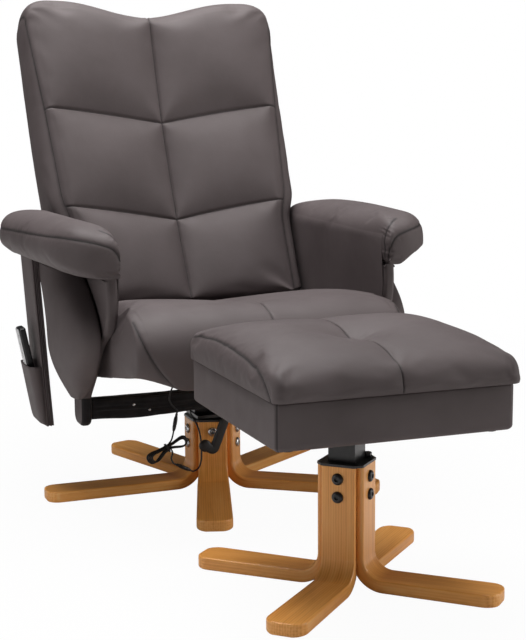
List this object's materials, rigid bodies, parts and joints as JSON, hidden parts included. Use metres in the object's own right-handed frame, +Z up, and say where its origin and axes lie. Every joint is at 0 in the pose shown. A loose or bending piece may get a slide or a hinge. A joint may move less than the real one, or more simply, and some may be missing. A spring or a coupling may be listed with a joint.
{
  "type": "massage recliner",
  "caption": "Padded leather massage recliner on a bent-wood swivel base, with a reclining back, a side pocket for its remote control, and a footstool whose lid opens on a storage box.",
  "frame": {"origin": "bottom centre of the set's bounding box, on the floor, without the lead under the seat", "axes": "+Z up, the chair faces -Y towards its footstool, +X to the right of someone who looks at it"},
  "size_m": [0.8082, 1.4334, 1.0132],
  "materials": {
    "leather": "satin",
    "oak": "satin",
    "plywood": "matte",
    "black_steel": "satin",
    "bright_steel": "polished",
    "black_plastic": "satin",
    "black_fabric": "matte",
    "silver_plastic": "satin",
    "cord": "satin"
  },
  "bodies": {
    "base": {"chair_hub": "black_steel", "chair_bolt_core": "bright_steel", "chair_hub_plate": "black_steel", "swivel_bush": "black_plastic", "chair_leg_1": "oak", "chair_leg_2": "oak", "chair_leg_3": "oak", "chair_leg_4": "oak", "chair_leg_5": "oak", "footstool_hub": "black_steel", "footstool_bolt_core": "black_steel", "footstool_hub_plate": "black_steel", "footstool_post": "black_steel", "footstool_box_plate": "black_steel", "footstool_box": "leather", "footstool_box_floor": "black_fabric", "lid_hinge_box_leaf": "black_steel", "lid_hinge_pin": "bright_steel", "footstool_leg_1": "oak", "footstool_leg_2": "oak", "footstool_leg_3": "oak", "footstool_leg_4": "oak"},
    "seat_frame": {"swivel_spindle": "bright_steel", "frame_plate": "black_steel", "recline_mechanism": "black_steel", "cross_bar": "black_fabric", "arm_board_left": "leather", "arm_board_right": "leather", "arm_panel_left": "leather", "arm_panel_right": "leather", "arm_pad_left": "leather", "arm_pad_right": "leather", "side_pocket": "leather", "seat_board": "plywood", "seat_cushion": "leather", "massage_control_box": "black_plastic", "seat_hinge_1": "black_steel", "seat_hinge_2": "black_steel", "recline_shaft": "bright_steel", "cord_upper_lead": "cord", "cord_upper_plug": "black_plastic", "cord_hank": "cord", "cord_tie": "black_plastic", "cord_lower_plug": "black_plastic", "cord_lower_lead": "cord"},
    "back": {"back_board": "leather", "back_cushion": "leather", "back_hinge_1": "black_steel", "back_hinge_2": "black_steel", "vibration_motor_1": "black_plastic", "vibration_motor_2": "black_plastic"},
    "lid": {"lid_board": "black_fabric", "lid_cushion": "leather", "lid_hinge_lid_leaf": "black_steel"},
    "lever": {"recline_lever": "black_plastic"},
    "remote": {"remote_body": "black_plastic"},
    "power_button": {"remote_button_power": "silver_plastic"},
    "mode_button": {"remote_button_mode": "silver_plastic"},
    "heat_button": {"remote_button_heat": "silver_plastic"}
  },
  "joints": [
    {"name": "swivel", "type": "hinge", "parent": "base", "child": "seat_frame", "pos_m": [0, 0.2, 0.15], "axis": [0, 0, 1], "continuous": true},
    {"name": "back_recline", "type": "hinge", "parent": "seat_frame", "child": "back", "pos_m": [0, 0.347, 0.346], "axis": [1, 0, 0], "range_deg": [-35, 0]},
    {"name": "lid_open", "type": "hinge", "parent": "base", "child": "lid", "pos_m": [0.004, -0.2927, 0.3667], "axis": [1, 0, 0], "range_deg": [-75, 0]},
    {"name": "lever_pull", "type": "hinge", "parent": "seat_frame", "child": "lever", "pos_m": [-0.01, 0.081, 0.1635], "axis": [0, 1, 0], "range_deg": [0, 30], "stiffness_Nm_per_rad": 0.4},
    {"name": "remote_lift", "type": "slide", "parent": "seat_frame", "child": "remote", "axis": [-0.1908, 0, 0.9816], "range_m": [0, 0.09]},
    {"name": "power_press", "type": "slide", "parent": "remote", "child": "power_button", "axis": [0.9816, 0, 0.1908], "range_m": [0, 0.0012], "stiffness_N_per_m": 400},
    {"name": "mode_press", "type": "slide", "parent": "remote", "child": "mode_button", "axis": [0.9816, 0, 0.1908], "range_m": [0, 0.0012], "stiffness_N_per_m": 400},
    {"name": "heat_press", "type": "slide", "parent": "remote", "child": "heat_button", "axis": [0.9816, 0, 0.1908], "range_m": [0, 0.0012], "stiffness_N_per_m": 400}
  ]
}
